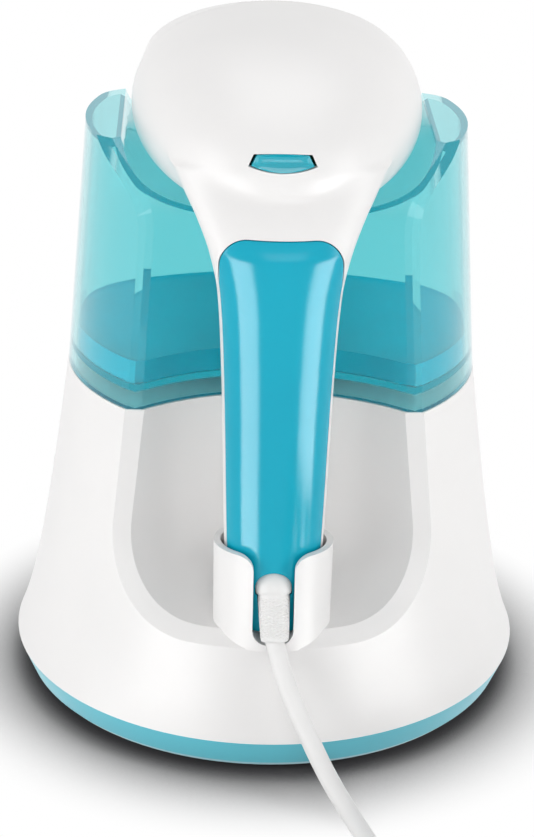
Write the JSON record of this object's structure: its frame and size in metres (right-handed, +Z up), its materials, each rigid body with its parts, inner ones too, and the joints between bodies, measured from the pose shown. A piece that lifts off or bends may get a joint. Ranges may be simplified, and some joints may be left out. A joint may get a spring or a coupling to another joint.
{
  "type": "garment steamer",
  "caption": "Hand-held garment steamer with oval steam head, coloured grip and clear water tank, parked upright in the holster cup of a flared round stand.",
  "frame": {"origin": "on the floor under the centre of the round stand", "axes": "+Z up; the steam plate faces +Y and the handle with its holster cup is at -Y"},
  "size_m": [0.2389, 0.3408, 0.2368],
  "materials": {
    "white_plastic": "smooth gloss moulding",
    "teal_plastic": "smooth satin moulding",
    "grip_plastic": "semi-gloss moulding",
    "clear_tank": "tinted clear moulding",
    "clear_tube": "clear tube",
    "button_plastic": "translucent moulding",
    "lead_plastic": "soft sheath",
    "dark_plastic": "fine matte",
    "pump_plastic": "fine matte",
    "rubber": "soft matte",
    "tube_silicone": "silicone",
    "steel": "brushed",
    "aluminium": "polished",
    "brass": "nickel-plated",
    "board": "coated board"
  },
  "bodies": {
    "stand": {"stand_shell": "white_plastic", "base_ring": "teal_plastic", "bottom_plate": "dark_plastic", "rubber_feet": "rubber", "stand_screws": "steel", "mains_lead": "lead_plastic", "lead_coil": "lead_plastic", "coil_tie": "dark_plastic", "mains_plug": "lead_plastic", "plug_pins": "brass"},
    "handset": {"body_shell": "white_plastic", "grip_cover": "grip_plastic", "grip_screws": "steel", "plate_bezel": "white_plastic", "steam_plate": "aluminium", "steam_chamber": "aluminium", "chamber_gasket": "tube_silicone", "chamber_cover": "aluminium", "heating_element": "steel", "thermostat": "steel", "thermal_fuse": "dark_plastic", "button_dome": "tube_silicone", "button_switch": "dark_plastic", "lamp_board": "board", "trigger_pin": "steel", "steam_switch": "dark_plastic", "water_pump": "pump_plastic", "suction_tube": "tube_silicone", "delivery_tube": "tube_silicone", "tank_dock": "dark_plastic", "water_inlet": "dark_plastic", "lead_clamp": "dark_plastic", "strain_relief": "lead_plastic"},
    "tank": {"tank_shell": "clear_tank", "door_pin": "steel", "port_seal": "tube_silicone", "pickup_tube": "clear_tube", "pickup_filter": "dark_plastic"},
    "button": {"power_button": "button_plastic"},
    "trigger": {"steam_trigger": "teal_plastic"},
    "filler": {"filler_door": "clear_tank", "door_seal": "tube_silicone"}
  },
  "joints": [
    {"name": "handset_lift", "type": "slide", "parent": "stand", "child": "handset", "axis": [0, 0, 1], "range_m": [0, 0.13]},
    {"name": "tank_slide", "type": "slide", "parent": "handset", "child": "tank", "axis": [0, 1, 0], "range_m": [0, 0.14]},
    {"name": "button_press", "type": "slide", "parent": "handset", "child": "button", "axis": [0, 1, 0], "range_m": [0, 0.0016]},
    {"name": "trigger_pull", "type": "hinge", "parent": "handset", "child": "trigger", "pos_m": [0, -0.05713, 0.165], "axis": [-1, 0, 0], "range_deg": [0, 5]},
    {"name": "filler_open", "type": "hinge", "parent": "tank", "child": "filler", "pos_m": [0, 0.0452, 0.1474], "axis": [-1, 0, 0], "range_deg": [0, 100]}
  ]
}
